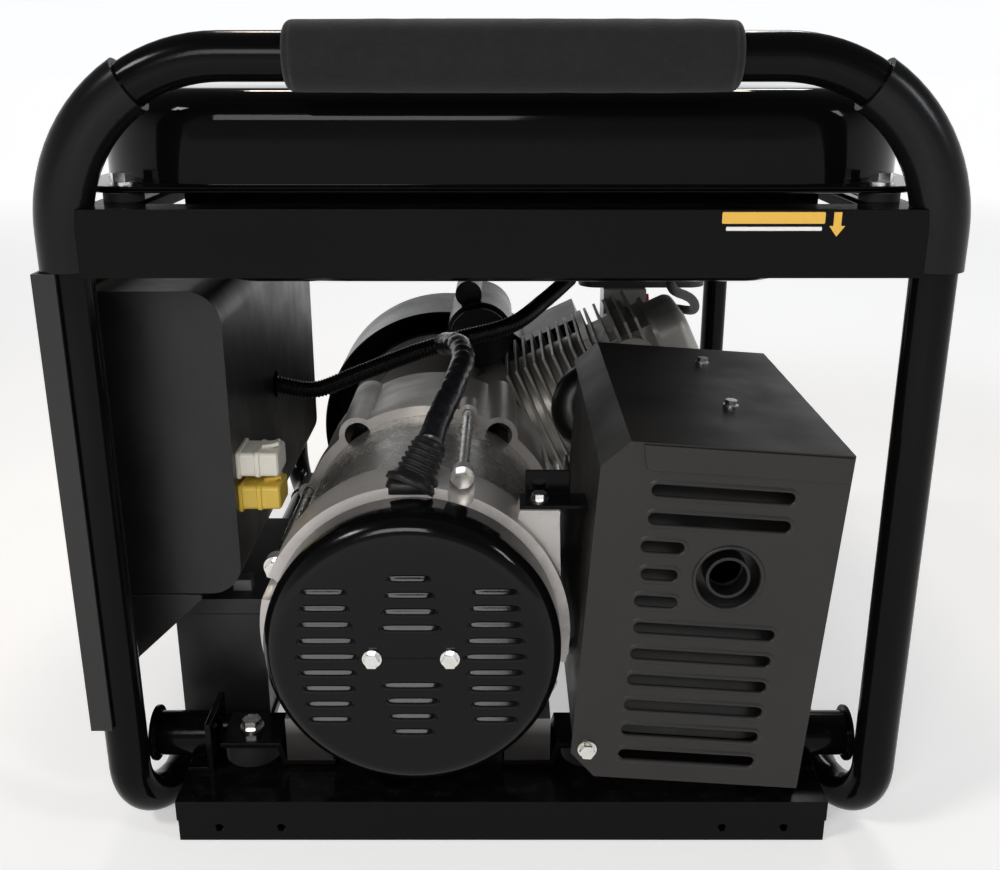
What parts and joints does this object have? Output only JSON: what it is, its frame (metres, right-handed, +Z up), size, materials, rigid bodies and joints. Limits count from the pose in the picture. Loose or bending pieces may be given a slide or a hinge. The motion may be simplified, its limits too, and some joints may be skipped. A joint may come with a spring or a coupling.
{
  "type": "portable generator",
  "caption": "Open-frame portable generator with a tube frame, top fuel tank, side control panel, finned engine and a round alternator beside a slotted muffler shield.",
  "frame": {"origin": "on the floor, in the middle of the tube frame", "axes": "+Z up, +Y along the crankshaft away from the alternator end, +X toward the muffler side"},
  "size_m": [0.551, 0.692, 0.527],
  "materials": {
    "frame_paint": "gloss black powder coat",
    "guard_plastic": "moulded black",
    "foam": "matt foam sleeve",
    "rubber": "matt",
    "zinc_steel": "zinc plated",
    "tank_paint": "high gloss black",
    "cap_plastic": "fine grain",
    "red_plastic": "moulded red",
    "yellow_plastic": "moulded yellow",
    "zinc_alloy": "die cast",
    "panel_paint": "satin black",
    "housing_plastic": "satin",
    "outlet_plastic": "moulded",
    "cover_paint": "gloss black",
    "cast_aluminium": "as cast",
    "lamination_steel": "oiled",
    "copper": "varnished copper",
    "fan_plastic": "moulded",
    "cable_sheath": "taped",
    "flywheel_iron": "cast",
    "starter_paint": "gloss black",
    "exhaust_steel": "heat-stained",
    "shield_paint": "satin dark grey"
  },
  "bodies": {
    "frame": {"near_hoop": "frame_paint", "far_hoop": "frame_paint", "side_rails": "frame_paint", "crossbars": "frame_paint", "top_rails": "frame_paint", "base_members": "frame_paint", "corner_guards": "guard_plastic", "near_grip": "foam", "far_grip": "foam", "axle_sleeves": "frame_paint", "rubber_mounts": "rubber", "alternator_brackets": "frame_paint", "frame_bolts": "zinc_steel", "tank_upper": "tank_paint", "tank_lower": "tank_paint", "fuel_gauge": "cap_plastic", "fuel_valve": "zinc_alloy", "fuel_hose": "rubber", "control_panel": "panel_paint", "control_housing": "housing_plastic", "outlets": "outlet_plastic", "voltmeter": "outlet_plastic", "alternator_cover": "cover_paint", "flange_bolts": "zinc_steel", "rear_bracket": "cast_aluminium", "stator_core": "lamination_steel", "stator_windings": "copper", "drive_end_bell": "cast_aluminium", "through_bolts": "zinc_steel", "cable_boot": "rubber", "alternator_lead": "cable_sheath", "wiring_harness": "cable_sheath", "engine_block": "cast_aluminium", "cylinder_head": "cast_aluminium", "valve_cover": "cast_aluminium", "spark_plug": "rubber", "piston": "cast_aluminium", "blower_housing": "cover_paint", "recoil_housing": "cover_paint", "starter_motor": "starter_paint", "carburetor": "zinc_alloy", "air_cleaner": "housing_plastic", "exhaust_pipe": "exhaust_steel", "muffler": "exhaust_steel", "heat_shield": "shield_paint", "battery": "housing_plastic"},
    "running_gear": {"rotor": "lamination_steel", "cooling_fan": "fan_plastic", "crankshaft": "lamination_steel", "flywheel": "flywheel_iron"},
    "recoil_pulley": {"recoil_pulley": "outlet_plastic"},
    "recoil_handle": {"recoil_handle": "cap_plastic"},
    "fuel_cap": {"fuel_cap": "cap_plastic"},
    "gauge_needle": {"gauge_needle": "red_plastic"},
    "valve_lever": {"valve_lever": "cap_plastic"},
    "breaker_toggle": {"breaker_toggle": "cap_plastic"},
    "reset_button": {"reset_button": "red_plastic"},
    "engine_switch": {"engine_switch": "cap_plastic"},
    "choke_lever": {"choke_lever": "red_plastic"},
    "oil_cap": {"oil_cap": "yellow_plastic"}
  },
  "joints": [
    {"name": "crankshaft_spin", "type": "hinge", "parent": "frame", "child": "running_gear", "pos_m": [-0.058, 0, 0.142], "axis": [0, 1, 0], "continuous": true},
    {"name": "recoil_pull", "type": "slide", "parent": "frame", "child": "recoil_handle", "axis": [0, 1, 0], "range_m": [0, 0.5]},
    {"name": "recoil_pulley_turn", "type": "hinge", "parent": "frame", "child": "recoil_pulley", "pos_m": [-0.058, 0.259, 0.142], "axis": [0, 1, 0], "range_deg": [0, 690]},
    {"name": "fuel_cap_turn", "type": "hinge", "parent": "frame", "child": "fuel_cap", "pos_m": [0, -0.04, 0.495], "axis": [0, 0, 1], "range_deg": [0, 90]},
    {"name": "gauge_needle_turn", "type": "hinge", "parent": "frame", "child": "gauge_needle", "pos_m": [0, 0.11, 0.494], "axis": [0, 0, 1], "range_deg": [-90, 90]},
    {"name": "fuel_valve_turn", "type": "hinge", "parent": "frame", "child": "valve_lever", "pos_m": [0.15, 0.0048, 0.355], "axis": [0, 1, 0], "range_deg": [0, 90]},
    {"name": "breaker_toggle_turn", "type": "hinge", "parent": "frame", "child": "breaker_toggle", "pos_m": [-0.262, -0.11, 0.325], "axis": [0, 1, 0], "range_deg": [-40, 0]},
    {"name": "reset_button_press", "type": "slide", "parent": "frame", "child": "reset_button", "axis": [1, 0, 0], "range_m": [0, 0.003], "stiffness_N_per_m": 400},
    {"name": "engine_switch_turn", "type": "hinge", "parent": "frame", "child": "engine_switch", "pos_m": [-0.268, 0, 0.325], "axis": [1, 0, 0], "range_deg": [0, 60]},
    {"name": "choke_lever_turn", "type": "hinge", "parent": "frame", "child": "choke_lever", "pos_m": [0.1444, 0.132, 0.278], "axis": [1, 0, 0], "range_deg": [-35, 0]},
    {"name": "oil_cap_turn", "type": "hinge", "parent": "frame", "child": "oil_cap", "pos_m": [-0.146, 0.028, 0.068], "axis": [1, 0, 0], "range_deg": [0, 180]}
  ],
  "couplings": [
    {"joint": "recoil_pulley_turn", "follows": "recoil_pull", "rad_per_m": 23.8}
  ]
}
